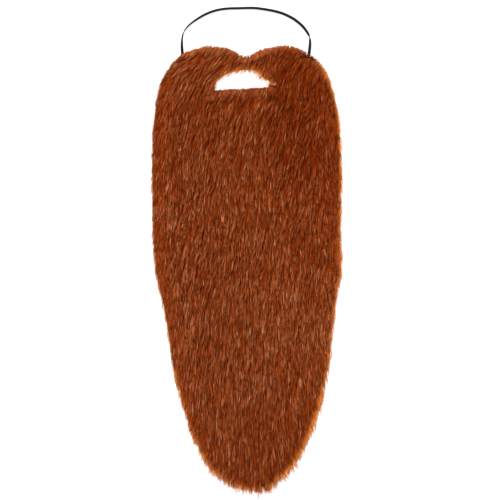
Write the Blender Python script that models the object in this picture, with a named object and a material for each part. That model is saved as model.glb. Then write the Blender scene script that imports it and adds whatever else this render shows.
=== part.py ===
"""A full false beard of long-pile fur cloth, lying on its back with its elastic head band above.

The panel lies on z = 0 with its hair up. +Y points to the moustache edge, +X to the beard's
right as it is seen from above, and the origin is under the middle of the fur. The cloth, the
fur and the elastic are three solids that keep a gap of 0.3 mm.
"""

import math
import random
from collections import namedtuple

import bpy
import numpy as np
from mathutils.geometry import delaunay_2d_cdt

# Driving dimensions, in metres and degrees
PANEL_TOP = 0.280
PANEL_BOTTOM = -0.280
CLOTH_WALL = 0.0015
GAP = 0.0003
PILE_HEIGHT = 0.0125
LOCK_WIDTH = 0.011
LOCK_ROW = 0.020
RIM_STEP = 0.006
CLOTH_STEP = 0.008
EDGE_BARE = 0.0025
EDGE_OVERHANG = 0.008
TUFT_DEPTH = 0.0065
RING_INSET = 0.0045
RING_STAGGER = 0.0035
RING_ROOM = 0.0025

BAND_WIDTH = 0.0035
BAND_THICKNESS = 0.0007
BAND_CLEARANCE = 0.0001
BAND_STEP = 0.0038
SEWN_LENGTH = 0.013
LIFT_HEIGHT = BAND_CLEARANCE + BAND_THICKNESS + GAP
LIFT_FLAT = 0.007
LIFT_END = 0.018

MOUTH_LEFT = -0.0400
MOUTH_RIGHT = 0.0370
MOUTH_LEFT_Y = 0.2246
MOUTH_RIGHT_Y = 0.2290
MOUTH_RISE = 0.0232
MOUTH_ROUND = 2.3
MOUTH_OVERHANG = 0.60
MOUTH_CLOTH_BARE = 0.0015
MOUTH_BLUNT = 0.0005

# Half-widths of the fur to its tips, on each side of x = 0, from the cheeks down to the point
Side = namedtuple("Side", "y left right")
SIDES = (
    Side(0.250, 0.0996, 0.0977),
    Side(0.233, 0.1076, 0.1039),
    Side(0.213, 0.1126, 0.1101),
    Side(0.183, 0.1163, 0.1151),
    Side(0.150, 0.1176, 0.1170),
    Side(0.103, 0.1182, 0.1182),
    Side(0.051, 0.1170, 0.1170),
    Side(0.004, 0.1145, 0.1170),
    Side(-0.026, 0.1076, 0.1139),
    Side(-0.056, 0.1014, 0.1095),
    Side(-0.086, 0.0964, 0.1052),
    Side(-0.116, 0.0933, 0.1020),
    Side(-0.146, 0.0852, 0.0958),
    Side(-0.176, 0.0772, 0.0877),
    Side(-0.205, 0.0697, 0.0778),
    Side(-0.235, 0.0548, 0.0660),
    Side(-0.255, 0.0400, 0.0490),
    Side(-0.270, 0.0200, 0.0300),
)
POINT_X = 0.0056

# The moustache edge from left to right: two humps with a dip under the nose
Crest = namedtuple("Crest", "x y")
CRESTS = (
    Crest(-0.0902, 0.2601),
    Crest(-0.0753, 0.2725),
    Crest(-0.0529, 0.2787),
    Crest(-0.0305, 0.2775),
    Crest(-0.0081, 0.2688),
    Crest(-0.0006, 0.2663),
    Crest(0.0068, 0.2688),
    Crest(0.0218, 0.2750),
    Crest(0.0442, 0.2800),
    Crest(0.0666, 0.2763),
    Crest(0.0815, 0.2669),
    Crest(0.0890, 0.2626),
)

# The middle of the elastic from its left sewn end to its right one, with its lean in degrees:
# 90 lies flat, 0 stands on edge, and under 0 it leans over to the other side
Band = namedtuple("Band", "x y lean")
BAND_ROUTE = (
    Band(-0.0803, 0.2563, 90),
    Band(-0.0800, 0.2626, 90),
    Band(-0.0796, 0.2700, 90),
    Band(-0.0800, 0.2750, 84),
    Band(-0.0803, 0.2825, 58),
    Band(-0.0805, 0.2899, 24),
    Band(-0.0796, 0.2956, 2),
    Band(-0.0770, 0.2999, -8),
    Band(-0.0733, 0.3049, -17),
    Band(-0.0674, 0.3099, -24),
    Band(-0.0605, 0.3148, -28),
    Band(-0.0513, 0.3198, -31),
    Band(-0.0404, 0.3229, -33),
    Band(-0.0305, 0.3248, -34),
    Band(-0.0205, 0.3264, -35),
    Band(-0.0106, 0.3274, -36),
    Band(0.0044, 0.3279, -37),
    Band(0.0143, 0.3273, -38),
    Band(0.0292, 0.3243, -40),
    Band(0.0392, 0.3218, -42),
    Band(0.0470, 0.3196, -43),
    Band(0.0569, 0.3146, -43),
    Band(0.0638, 0.3094, -40),
    Band(0.0694, 0.3043, -33),
    Band(0.0733, 0.2993, -22),
    Band(0.0764, 0.2943, -10),
    Band(0.0784, 0.2893, 6),
    Band(0.0790, 0.2837, 36),
    Band(0.0786, 0.2775, 70),
    Band(0.0780, 0.2713, 90),
    Band(0.0768, 0.2663, 90),
    Band(0.0755, 0.2613, 90),
)

# Heights on a lock, as a share of the pile's. Places along it run from -1 at its root to 1
Ridge = namedtuple("Ridge", "along height")
RIDGE = (Ridge(-0.45, 0.80), Ridge(0.15, 1.0))
TIP = Ridge(0.85, 0.86)
VALLEY_CORNER = 0.55
VALLEY_MIDDLE = 0.50
RING_RIDGE = 0.95
RING_VALLEY = 0.55

FUR_COLOUR = (0.198, 0.038, 0.009, 1.0)
CLOTH_COLOUR = (0.105, 0.036, 0.014, 1.0)
ELASTIC_COLOUR = (0.010, 0.010, 0.011, 1.0)


def clear_scene():
    for obj in list(bpy.data.objects):
        bpy.data.objects.remove(obj, do_unlink=True)


def plain_material(name, colour, roughness):
    material = bpy.data.materials.new(name)
    material.use_nodes = True
    shader = material.node_tree.nodes["Principled BSDF"]
    shader.inputs["Base Color"].default_value = colour
    shader.inputs["Roughness"].default_value = roughness
    shader.inputs["Metallic"].default_value = 0.0
    material.diffuse_color = colour
    return material


def ease(value, start, end):
    """0 before start, 1 after end, and a smooth rise between."""
    t = np.clip((value - start) / (end - start), 0.0, 1.0)
    return t * t * (3.0 - 2.0 * t)


def smooth_curve(points, closed, steps=10):
    """Points along the Catmull-Rom curve through the given ones, which may have any columns."""
    row = np.array(points, float)
    if closed:
        row = np.vstack([row[-1:], row, row[:2]])
    else:
        row = np.vstack([2 * row[:1] - row[1:2], row, 2 * row[-1:] - row[-2:-1]])
    found = []
    for before, start, end, after in zip(row[:-3], row[1:-2], row[2:-1], row[3:]):
        for t in np.arange(steps) / steps:
            bend = 2 * before - 5 * start + 4 * end - after
            twist = -before + 3 * start - 3 * end + after
            found.append(0.5 * (2 * start + (end - before) * t + bend * t**2 + twist * t**3))
    if not closed:
        found.append(row[-2])
    return np.array(found)


def evenly(points, step, closed):
    """The curve's points again, about step apart along it in x and y."""
    row = np.vstack([points, points[:1]]) if closed else points
    gone = np.hypot(*np.diff(row[:, :2], axis=0).T)
    along = np.concatenate([[0.0], np.cumsum(gone)])
    count = max(round(along[-1] / step), 3)
    count += count % 2 if closed else 0
    at = np.linspace(0.0, along[-1], count + 1)
    found = np.stack([np.interp(at, along, column) for column in row.T], axis=1)
    return found[:-1] if closed else found


def outward(loop):
    """The unit normals that point out of a loop that runs anticlockwise."""
    tangent = np.roll(loop, -1, axis=0) - np.roll(loop, 1, axis=0)
    normal = np.stack([tangent[:, 1], -tangent[:, 0]], axis=1)
    return normal / np.linalg.norm(normal, axis=1, keepdims=True)


def distance_to(points, loop):
    """How far each point lies from the nearest side of a closed loop."""
    side = np.roll(loop, -1, axis=0) - loop
    offset = points[:, None] - loop[None]
    share = (offset * side).sum(2) / (side * side).sum(1)
    nearest = offset - np.clip(share, 0.0, 1.0)[:, :, None] * side
    return np.sqrt((nearest**2).sum(2)).min(1)


def inside(points, loop):
    """Whether each point lies in a closed loop, by the crossings of a line to its right."""
    x, y = points[:, 0, None], points[:, 1, None]
    x0, y0 = loop.T
    x1, y1 = np.roll(loop, -1, axis=0).T
    crosses = (y0 > y) != (y1 > y)
    rise = np.where(y1 == y0, 1.0, y1 - y0)
    return (crosses & (x < x0 + (y - y0) * (x1 - x0) / rise)).sum(1) % 2 == 1


def hair_lean(x, y):
    """The angle from straight down to the way the hair lies, positive towards +X, in radians.

    The moustache is combed to the left, most at its top edge, and the beard hangs nearly
    straight, with a slow wave and a fan at its point.
    """
    below = PANEL_TOP - y
    right = ease(x, 0.0, 0.055)
    sweep_left = 50.0 * np.exp(-below / 0.058)
    sweep_right = 38.0 * np.exp(-below / 0.030)
    sweep = sweep_left * (1.0 - right) + sweep_right * right
    cheek = 8.0 * ease(x, 0.070, 0.115)
    wave = 3.5 * np.sin(38.0 * x + 21.0 * y) + 2.5 * np.sin(90.0 * y - 30.0 * x + 1.0)
    fan = 26.0 * np.clip(x / 0.06, -1.0, 1.0) * np.exp(-(y - PANEL_BOTTOM) / 0.035)
    return np.radians(-7.0 - sweep + cheek + wave + fan)


def hair_way(points):
    """The unit vectors along which the hair lies."""
    angle = hair_lean(points[:, 0], points[:, 1])
    return np.stack([np.sin(angle), -np.cos(angle)], axis=1)


def fur_outline():
    """The beard's outline to its hair tips, anticlockwise from the left cheek."""
    left = [(-row.left, row.y) for row in SIDES]
    right = [(row.right, row.y) for row in reversed(SIDES)]
    crest = [(row.x, row.y) for row in reversed(CRESTS)]
    return smooth_curve(left + [(POINT_X, PANEL_BOTTOM)] + right + crest, closed=True)


def mouth_outline(overhang, bare):
    """The D of the mouth, clockwise from its left corner: an arch over a nearly straight lip.

    overhang is the share of the arch's right end that hair hides, and bare widens the hole.
    """
    middle = (MOUTH_LEFT + MOUTH_RIGHT) / 2
    reach = (MOUTH_RIGHT - MOUTH_LEFT) / 2
    turns = np.radians(np.linspace(180.0, 0.0, 15))
    across = np.sign(np.cos(turns)) * np.abs(np.cos(turns)) ** (2 / MOUTH_ROUND)
    rise = MOUTH_RISE * np.abs(np.sin(turns)) ** (2 / MOUTH_ROUND)
    rise = rise * (1.0 - overhang * ease(across, 0.15, 0.95))
    lip = np.linspace(1.0, -1.0, 9)
    across = np.concatenate([across, lip])
    rise = np.concatenate([rise, np.zeros(len(lip))])
    x = middle + (reach + bare) * across
    slope = (MOUTH_RIGHT_Y - MOUTH_LEFT_Y) / (MOUTH_RIGHT - MOUTH_LEFT)
    up = np.where(np.arange(len(x)) < len(turns), 1.0, -1.0)
    y = MOUTH_LEFT_Y + slope * (x - MOUTH_LEFT) + rise + up * (bare + MOUTH_BLUNT)
    return np.stack([x, y], axis=1)


def cloth_outline(outline):
    """The ground's edge: just inside the fur, and further in where the hair leaves the edge."""
    loop = evenly(outline, CLOTH_STEP, closed=True)
    normal = outward(loop)
    leaving = (1.0 + (normal * hair_way(loop)).sum(1)) / 2.0
    inset = EDGE_BARE + EDGE_OVERHANG * leaving**1.5
    return loop - normal * inset[:, None]


def tufted_rim(outline, rng):
    """The fur's rim: tips on the outline with notches between them, deepest where hair leaves."""
    loop = evenly(outline, RIM_STEP, closed=True)
    normal = outward(loop)
    way = hair_way(loop)
    facing = (normal * way).sum(1)
    along_edge = way - normal * facing[:, None]
    leaving = np.clip(facing, 0.0, 1.0)
    notch = np.arange(len(loop)) % 2 == 1
    depth = np.array([rng.uniform(0.55, 1.0) for _ in loop])
    depth = np.where(notch, depth, 0.25 * (depth - 0.55))
    inset = depth * (0.0011 + TUFT_DEPTH * leaving)
    droop = np.where(notch, 0.0, 0.45 * RIM_STEP)
    rim = loop - normal * inset[:, None] + along_edge * droop[:, None]
    z = np.where(notch, 0.0018, 0.0010) + 0.0008 * (1.0 - leaving)
    return np.column_stack([rim, z])


def band_points():
    """The elastic's middle line: x, y, z and lean in degrees, evenly along its route."""
    row = evenly(smooth_curve(BAND_ROUTE, closed=False), BAND_STEP, closed=False)
    lean = np.radians(row[:, 2])
    stands = 0.5 * BAND_WIDTH * np.abs(np.cos(lean))
    lies = 0.5 * BAND_THICKNESS * np.abs(np.sin(lean))
    return np.column_stack([row[:, :2], BAND_CLEARANCE + stands + lies, lean])


def cloth_lift(points):
    """How far the ground rises over the elastic's two sewn ends."""
    route = band_points()[:, :2]
    count = round(SEWN_LENGTH / BAND_STEP) + 1
    sewn = np.vstack([route[:count], route[-count:]])
    away = np.sqrt(((points[:, None] - sewn[None]) ** 2).sum(2)).min(1)
    return LIFT_HEIGHT * (1.0 - ease(away, LIFT_FLAT, LIFT_END))


def lift_grid(cloth, mouth):
    """Points on the ground round the sewn ends, so that it can rise over them."""
    found = []
    for end in (BAND_ROUTE[1], BAND_ROUTE[-2]):
        for i in range(-4, 5):
            for j in range(-5, 4):
                found.append((end.x + 0.006 * i, end.y + 0.006 * j))
    grid = np.array(found)
    clear = inside(grid, cloth) & (distance_to(grid, cloth) > 0.003)
    return grid[clear & (distance_to(grid, mouth) > 0.003)]


def pile_height(points, outline, mouth):
    """The fur's height over its root bed: full in the middle and lower towards each edge."""
    loop = evenly(outline, CLOTH_STEP, closed=True)
    at_top = ease(points[:, 1], 0.215, 0.255)
    edge = 0.34 + 0.22 * at_top
    rise = ease(distance_to(points, loop), 0.0, 0.024)
    lips = 0.62 + 0.38 * ease(distance_to(points, mouth), 0.0, 0.014)
    swell = 1.0 + 0.06 * np.sin(52.0 * points[:, 0] + 3.0 * np.sin(31.0 * points[:, 1]))
    return PILE_HEIGHT * (edge + (1.0 - edge) * rise) * lips * swell


class FlowGrid:
    """Rows across the beard and columns that follow the hair, so that locks lie along it."""

    def __init__(self):
        levels = [PANEL_TOP + 0.01]
        while levels[-1] > PANEL_BOTTOM - LOCK_ROW:
            levels.append(levels[-1] - LOCK_ROW * math.cos(hair_lean(-0.03, levels[-1])))
        self.rows = len(levels)
        self.fine = np.interp(np.arange(0, self.rows - 0.75, 0.25), range(self.rows), levels)
        self.columns = np.arange(-20, 21)
        start = len(self.fine) // 2
        lines = [self.columns * LOCK_WIDTH * 0.9]
        for upper, lower in zip(self.fine[start:-1], self.fine[start + 1 :]):
            lines.append(lines[-1] + (upper - lower) * np.tan(hair_lean(lines[-1], upper)))
        for upper, lower in zip(self.fine[start - 1 :: -1], self.fine[start:0:-1]):
            lines.insert(0, lines[0] - (upper - lower) * np.tan(hair_lean(lines[0], lower)))
        self.lines = np.array(lines)

    def place(self, row, half_column):
        """Where a row and a half-column meet. Both may be fractions."""
        at = min(max(row * 4, 0.0), len(self.fine) - 1.001)
        low = int(at)
        column = half_column / 2
        ends = [np.interp(column, self.columns, self.lines[low + i]) for i in (0, 1)]
        x = ends[0] + (ends[1] - ends[0]) * (at - low)
        y = self.fine[low] + (self.fine[low + 1] - self.fine[low]) * (at - low)
        return x, y


def lock_points(rng):
    """The locks' points as (x, y, share of the height), and the edges that shape them.

    Locks are diamonds in staggered rows. A ridge runs down each one to a raised tip, which
    ends in a steep drop to the valley where four locks meet.
    """
    grid = FlowGrid()
    points, edges, corner = [], [], {}

    def add(row, half, height):
        points.append((*grid.place(row, half), height))
        return len(points) - 1

    halves = range(int(2 * grid.columns[0]) + 2, int(2 * grid.columns[-1]) - 1)
    for row in range(grid.rows + 1):
        for half in halves:
            if (row + half) % 2:
                down, across = rng.uniform(-0.12, 0.12), rng.uniform(-0.22, 0.22)
                height = VALLEY_CORNER * rng.uniform(0.88, 1.12)
                corner[row, half] = (row + down, half + across, add(row + down, half + across, height))
    for (row, half), (_, _, start) in list(corner.items()):
        for side in (-1, 1):
            if (row + 1, half + side) not in corner:
                continue
            end = corner[row + 1, half + side][2]
            height = VALLEY_MIDDLE * rng.uniform(0.88, 1.12)
            middle = add(row + 0.5, half + side / 2 + rng.uniform(-0.08, 0.08), height)
            edges += [(start, middle), (middle, end)]
    for row in range(grid.rows):
        for half in halves:
            if (row + 1, half) not in corner:
                continue
            size, bend = rng.uniform(0.86, 1.14), rng.uniform(-0.15, 0.15)
            ridge = [add(row + r.along, half + bend, r.height * size) for r in RIDGE]
            toe_row, toe_half, _ = corner[row + 1, half]
            ridge.append(add(toe_row + TIP.along - 1.0, toe_half, TIP.height * size))
            edges += list(zip(ridge[:-1], ridge[1:]))
    return np.array(points), edges


def triangles(points, loops, edges, keep):
    """Triangles over points in the plane that hold the loops and edges, where keep says so."""
    held = [tuple(edge) for edge in edges]
    for loop in loops:
        held += list(zip(loop, np.roll(loop, -1)))
    held = [(int(a), int(b)) for a, b in held]
    found = delaunay_2d_cdt([tuple(p) for p in points], held, [], 0, 1e-7)
    origin = [ids[0] if ids else None for ids in found[3]]
    if None in origin:
        raise ValueError("two held edges cross")
    faces = np.array([[origin[i] for i in face] for face in found[2]])
    faces = faces[keep(points[faces].mean(1))]
    a, b, c = points[faces].transpose(1, 0, 2)
    turn = (b[:, 0] - a[:, 0]) * (c[:, 1] - a[:, 1]) - (b[:, 1] - a[:, 1]) * (c[:, 0] - a[:, 0])
    faces[turn < 0] = faces[turn < 0][:, ::-1]
    return faces


def solid(name, points, faces, material):
    mesh = bpy.data.meshes.new(name)
    mesh.from_pydata([tuple(p) for p in points], [], [tuple(int(i) for i in f) for f in faces])
    mesh.materials.append(material)
    mesh.shade_smooth()
    mesh.set_sharp_from_angle(angle=math.radians(50))
    obj = bpy.data.objects.new(name, mesh)
    bpy.context.scene.collection.objects.link(obj)
    return obj


def ground_plan(outline):
    """The ground seen from above: its points, its edge, its mouth hole and its triangles."""
    edge = cloth_outline(outline)
    hole = mouth_outline(0.0, MOUTH_CLOTH_BARE)
    flat = np.vstack([edge, hole, lift_grid(edge, hole)])
    edge_at = np.arange(len(edge))
    hole_at = np.arange(len(hole)) + len(edge)

    def is_cloth(places):
        return inside(places, edge) & ~inside(places, hole)

    return flat, edge_at, hole_at, triangles(flat, (edge_at, hole_at), (), is_cloth)


def make_base_cloth(plan):
    """The knitted ground: one even wall, cut to shape with the mouth hole."""
    flat, edge_at, hole_at, ground = plan
    lift = cloth_lift(flat)
    count = len(flat)
    upper = np.column_stack([flat, lift + CLOTH_WALL])
    lower = np.column_stack([flat, lift])
    faces = list(ground) + list(ground[:, ::-1] + count)
    for loop in (edge_at, hole_at):
        after = np.roll(loop, -1)
        faces += [(a + count, b + count, b, a) for a, b in zip(loop, after)]
    knit = plain_material("knit", CLOTH_COLOUR, 0.9)
    return solid("base_cloth", np.vstack([upper, lower]), faces, knit)


def free_locks(smooth_rim, lips, rng):
    """The locks' points and edges that keep clear of the rim and the mouth."""
    locks, edges = lock_points(rng)
    at = locks[:, :2]
    ends = np.array(edges)
    free = inside(at, smooth_rim) & ~inside(at, lips)
    free &= distance_to(at, smooth_rim) > RING_INSET + RING_STAGGER + RING_ROOM
    free &= distance_to(at, lips) > RING_INSET + RING_ROOM
    whole = free[ends].all(1) & (distance_to(at[ends].mean(1), lips) > RING_INSET)
    index = np.cumsum(free) - 1
    return locks[free], index[ends[whole]]


def make_fur_pile(outline, plan, rng):
    """The hair: locks over one root bed, closed below along the cloth and the drooping rim."""
    flat, edge_at, hole_at, ground = plan
    bed = CLOTH_WALL + GAP
    rim = tufted_rim(outline, rng)
    lips = mouth_outline(MOUTH_OVERHANG, 0.0)
    loops = np.vstack([rim, np.column_stack([lips, np.full(len(lips), bed + GAP)])])
    rim_at = np.arange(len(rim))
    lips_at = np.arange(len(lips)) + len(rim)

    # A ring inside each edge gives it its fullness, ridge by ridge
    smooth_rim = evenly(outline, RIM_STEP, closed=True)
    notch = np.arange(len(rim)) % 2 == 1
    inset = np.where(notch, RING_INSET, RING_INSET + RING_STAGGER)
    ring = smooth_rim - outward(smooth_rim) * inset[:, None]
    lip_ring = lips[::2] - outward(lips)[::2] * RING_INSET
    ring_share = np.where(notch, RING_VALLEY, RING_RIDGE)
    lip_share = np.full(len(lip_ring), RING_RIDGE)
    locks, edges = free_locks(smooth_rim, lips, rng)
    crown = np.vstack([ring, lip_ring, locks[:, :2]])
    share = np.concatenate([ring_share, lip_share, locks[:, 2]])
    z = bed + cloth_lift(crown) + share * pile_height(crown, outline, lips)
    above = np.vstack([loops, np.column_stack([crown, z])])
    edges = edges + len(above) - len(locks)

    def is_fur(places):
        return inside(places, rim[:, :2]) & ~inside(places, lips)

    def is_fringe(places):
        past_edge = inside(places, rim[:, :2]) & ~inside(places, flat[edge_at])
        past_lips = inside(places, flat[hole_at]) & ~inside(places, lips)
        return past_edge | past_lips

    top = triangles(above[:, :2], (rim_at, lips_at), edges, is_fur)
    below = np.column_stack([flat, bed + cloth_lift(flat)])
    held = (rim_at, lips_at, edge_at + len(loops), hole_at + len(loops))
    fringe_points = np.vstack([loops[:, :2], flat[edge_at], flat[hole_at]])
    fringe = triangles(fringe_points, held, (), is_fringe)
    fringe = np.where(fringe >= len(loops), fringe - len(loops) + len(above), fringe)
    faces = list(top) + list(fringe[:, ::-1]) + list(ground[:, ::-1] + len(above))
    fur = plain_material("fur", FUR_COLOUR, 0.75)
    return solid("fur_pile", np.vstack([above, below]), faces, fur)


def make_elastic_band():
    """The head elastic: a flat band on its route, which leans as the photo shows."""
    row = band_points()
    curve = bpy.data.curves.new("elastic_band", "CURVE")
    curve.dimensions = "3D"
    curve.twist_mode = "Z_UP"
    curve.bevel_depth = 0.5 * BAND_THICKNESS
    curve.extrude = 0.5 * (BAND_WIDTH - BAND_THICKNESS)
    curve.bevel_resolution = 1
    curve.use_fill_caps = True
    spline = curve.splines.new("POLY")
    spline.points.add(len(row) - 1)
    for point, (x, y, z, lean) in zip(spline.points, row):
        point.co = (x, y, z, 1.0)
        point.tilt = lean
    curve.materials.append(plain_material("elastic", ELASTIC_COLOUR, 0.7))
    obj = bpy.data.objects.new("elastic_band", curve)
    bpy.context.scene.collection.objects.link(obj)
    return obj


def make_beard():
    clear_scene()
    outline = fur_outline()
    plan = ground_plan(outline)
    make_base_cloth(plan)
    make_fur_pile(outline, plan, random.Random(7))
    make_elastic_band()


make_beard()
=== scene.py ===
import math
from collections import namedtuple

import bmesh
import bpy
import numpy as np
from mathutils.geometry import delaunay_2d_cdt
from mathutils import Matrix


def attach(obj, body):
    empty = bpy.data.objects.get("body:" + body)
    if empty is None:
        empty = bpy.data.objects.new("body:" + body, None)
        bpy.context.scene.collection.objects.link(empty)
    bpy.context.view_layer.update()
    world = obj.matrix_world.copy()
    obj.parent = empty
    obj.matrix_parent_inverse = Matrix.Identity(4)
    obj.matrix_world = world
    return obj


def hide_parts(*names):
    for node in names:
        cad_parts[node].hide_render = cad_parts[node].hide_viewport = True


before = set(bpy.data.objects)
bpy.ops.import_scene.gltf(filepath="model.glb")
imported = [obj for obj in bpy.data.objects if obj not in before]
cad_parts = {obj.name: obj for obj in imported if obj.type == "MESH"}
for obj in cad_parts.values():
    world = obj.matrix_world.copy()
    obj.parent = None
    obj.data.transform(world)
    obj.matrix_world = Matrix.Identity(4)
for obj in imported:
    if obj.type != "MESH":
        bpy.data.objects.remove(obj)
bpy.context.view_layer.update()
MM = 0.001
rng = np.random.default_rng(11)

# Camera
# The beard is seen from straight above with a long lens, so nothing leans away at its edges.
# The frame is 622 mm wide at half the fur's height, and the beard lies a little left of its middle.
FRAME_WIDTH = 622.2 * MM
FRAME_MIDDLE = (4.36 * MM, 26.13 * MM)
FUR_MIDDLE_HEIGHT = 6.0 * MM
LENS = 120.0
SENSOR_WIDTH = 36.0
camera_data = bpy.data.cameras.new("overhead")
camera_data.lens = LENS
camera_data.sensor_width = SENSOR_WIDTH
camera = bpy.data.objects.new("overhead", camera_data)
camera.location = (*FRAME_MIDDLE, FRAME_WIDTH * LENS / SENSOR_WIDTH + FUR_MIDDLE_HEIGHT)
bpy.context.scene.collection.objects.link(camera)
bpy.context.scene.camera = camera

# Head elastic
# A flat woven elastic, 4 mm wide with lengthwise ribs, dyed black. It is sewn flat under the
# cloth at both ends, turns up on edge at the two corners and leans over along the arch.

# Its route: x and y in metres, and its lean from upright in degrees
BAND_ROUTE = (
    (-0.0803, 0.2563, 90),
    (-0.0800, 0.2626, 84),
    (-0.0799, 0.2700, 72),
    (-0.0803, 0.2750, 62),
    (-0.0806, 0.2825, 44),
    (-0.0802, 0.2899, 22),
    (-0.0792, 0.2954, 10),
    (-0.0771, 0.3000, -17),
    (-0.0733, 0.3049, -28),
    (-0.0674, 0.3100, -39),
    (-0.0605, 0.3148, -47),
    (-0.0514, 0.3200, -54),
    (-0.0407, 0.3242, -56),
    (-0.0308, 0.3264, -55),
    (-0.0206, 0.3274, -55),
    (-0.0106, 0.3276, -56),
    (0.0044, 0.3280, -57),
    (0.0143, 0.3275, -61),
    (0.0294, 0.3252, -63),
    (0.0395, 0.3229, -67),
    (0.0473, 0.3203, -69),
    (0.0573, 0.3153, -72),
    (0.0645, 0.3102, -71),
    (0.0702, 0.3050, -68),
    (0.0742, 0.2999, -60),
    (0.0774, 0.2948, -46),
    (0.0790, 0.2895, 22),
    (0.0792, 0.2837, 50),
    (0.0788, 0.2775, 68),
    (0.0780, 0.2713, 70),
    (0.0768, 0.2663, 86),
    (0.0755, 0.2613, 90),
)
BAND_WIDTH = 4.0 * MM
BAND_THICKNESS = 0.8 * MM
BAND_CLEARANCE = 0.1 * MM
BAND_STEP = 1.5 * MM
RIBS = 6
RIB_DEPTH = 0.09 * MM
RIB_PLACES = 4
FLAT_SHARE = 0.8
EDGE_SHARE = 0.25


def smooth_curve(points, closed, steps=10):
    """Points along the Catmull-Rom curve through the given ones, with all their columns."""
    row = np.array(points, float)
    if closed:
        row = np.vstack([row[-1:], row, row[:2]])
    else:
        row = np.vstack([2 * row[:1] - row[1:2], row, 2 * row[-1:] - row[-2:-1]])
    found = []
    for before, start, end, after in zip(row[:-3], row[1:-2], row[2:-1], row[3:]):
        for t in np.arange(steps) / steps:
            bend = 2 * before - 5 * start + 4 * end - after
            twist = -before + 3 * start - 3 * end + after
            found.append(0.5 * (2 * start + (end - before) * t + bend * t**2 + twist * t**3))
    if not closed:
        found.append(row[-2])
    return np.array(found)


def evenly(points, step, closed):
    """The curve's points again, about step apart along it in x and y."""
    row = np.vstack([points, points[:1]]) if closed else points
    gone = np.hypot(*np.diff(row[:, :2], axis=0).T)
    along = np.concatenate([[0.0], np.cumsum(gone)])
    at = np.linspace(0.0, along[-1], max(round(along[-1] / step), 3) + 1)
    found = np.stack([np.interp(at, along, column) for column in row.T], axis=1)
    return found[:-1] if closed else found


def mesh_piece(name, points, faces, material):
    """A piece from arrays of points and of faces, shaded smooth."""
    mesh = bpy.data.meshes.new(name)
    mesh.from_pydata(points.tolist(), [], [tuple(map(int, face)) for face in faces])
    mesh.materials.append(material)
    mesh.shade_smooth()
    piece = bpy.data.objects.new(name, mesh)
    bpy.context.scene.collection.objects.link(piece)
    return piece


def cloth_material(name, colour, roughness):
    """A new material and its shader, with what is the same all over set on the shader."""
    material = bpy.data.materials.new(name)
    material.use_nodes = True
    shader = material.node_tree.nodes["Principled BSDF"]
    shader.inputs["Base Color"].default_value = (*colour, 1.0)
    shader.inputs["Roughness"].default_value = roughness
    return material, shader


def band_lines():
    """The elastic's middle line, and the unit vectors across its width and its thickness."""
    row = evenly(smooth_curve(BAND_ROUTE, closed=False), BAND_STEP, closed=False)
    lean = np.radians(row[:, 2])[:, None]
    stands = 0.5 * BAND_WIDTH * np.abs(np.cos(lean))
    lies = 0.5 * BAND_THICKNESS * np.abs(np.sin(lean))
    middle = np.hstack([row[:, :2], BAND_CLEARANCE + stands + lies])
    way = np.gradient(middle[:, :2], axis=0)
    way /= np.linalg.norm(way, axis=1, keepdims=True)
    side = np.column_stack([-way[:, 1], way[:, 0], np.zeros(len(way))])
    up = np.array([0.0, 0.0, 1.0])
    across = side * np.sin(lean) + up * np.cos(lean)
    through = -side * np.cos(lean) + up * np.sin(lean)
    return middle, across, through


def band_profile():
    """The elastic's section: rounded ribs on both faces, as places across and through it."""
    across = np.linspace(-1.0, 1.0, RIB_PLACES * RIBS + 1)
    ribs = 0.5 + 0.5 * np.cos(np.pi * (across + 1.0) * RIBS + np.pi)
    past_flat = (np.abs(across) - FLAT_SHARE).clip(0.0) / (1.0 - FLAT_SHARE)
    edge = np.sqrt(np.clip(1.0 - past_flat**2, 0.0, 1.0))
    half = 0.5 * BAND_THICKNESS - RIB_DEPTH * (1.0 - ribs)
    half = half * (EDGE_SHARE + (1.0 - EDGE_SHARE) * edge)
    upper = np.stack([across * 0.5 * BAND_WIDTH, half], axis=1)
    return np.vstack([upper, upper[-2:0:-1] * (1.0, -1.0)])


def add_node(tree, kind, inputs=None, **settings):
    """A new shader node, with its settings, and with what is the same all over on its sockets."""
    node = tree.nodes.new("ShaderNode" + kind)
    for name, value in settings.items():
        setattr(node, name, value)
    for socket, value in (inputs or {}).items():
        node.inputs[socket].default_value = value
    return node


def add_ramp(tree, first, last, *between):
    """A colour ramp through stops, each a place from 0 to 1 and a colour."""
    shade = add_node(tree, "ValToRGB")
    stops = shade.color_ramp.elements
    for stop, (place, colour) in zip(stops, (first, last)):
        stop.position = place
        stop.color = (*colour, 1.0)
    for place, colour in between:
        stops.new(place).color = (*colour, 1.0)
    return shade


def link_up(tree, *links):
    """Links nodes: each link names a node, its output, the next node and its input."""
    for node, output, after, socket in links:
        tree.links.new(node.outputs[output], after.inputs[socket])


def elastic_material():
    """Black yarn: lengthwise ribs are in the shape, and short cross picks are drawn here."""
    material, shader = cloth_material("black_elastic", (0.004, 0.004, 0.004), 0.7)
    shader.inputs["Specular IOR Level"].default_value = 0.15
    tree = material.node_tree
    place = add_node(tree, "UVMap", uv_map="weave")
    stretch = add_node(tree, "Mapping", {"Scale": (6.0, 1700.0, 1.0)})
    picks = add_node(tree, "TexWave", {"Scale": 1.0, "Distortion": 0.6}, bands_direction="Y")
    shade = add_ramp(tree, (0.0, (0.001, 0.001, 0.001)), (1.0, (0.005, 0.005, 0.006)))
    relief = add_node(tree, "Bump", {"Strength": 0.5, "Distance": 0.06 * MM})
    link_up(
        tree,
        (place, "UV", stretch, "Vector"),
        (stretch, "Vector", picks, "Vector"),
        (picks, "Fac", shade, "Fac"),
        (shade, "Color", shader, "Base Color"),
        (picks, "Fac", relief, "Height"),
        (relief, "Normal", shader, "Normal"),
    )
    return material


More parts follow.
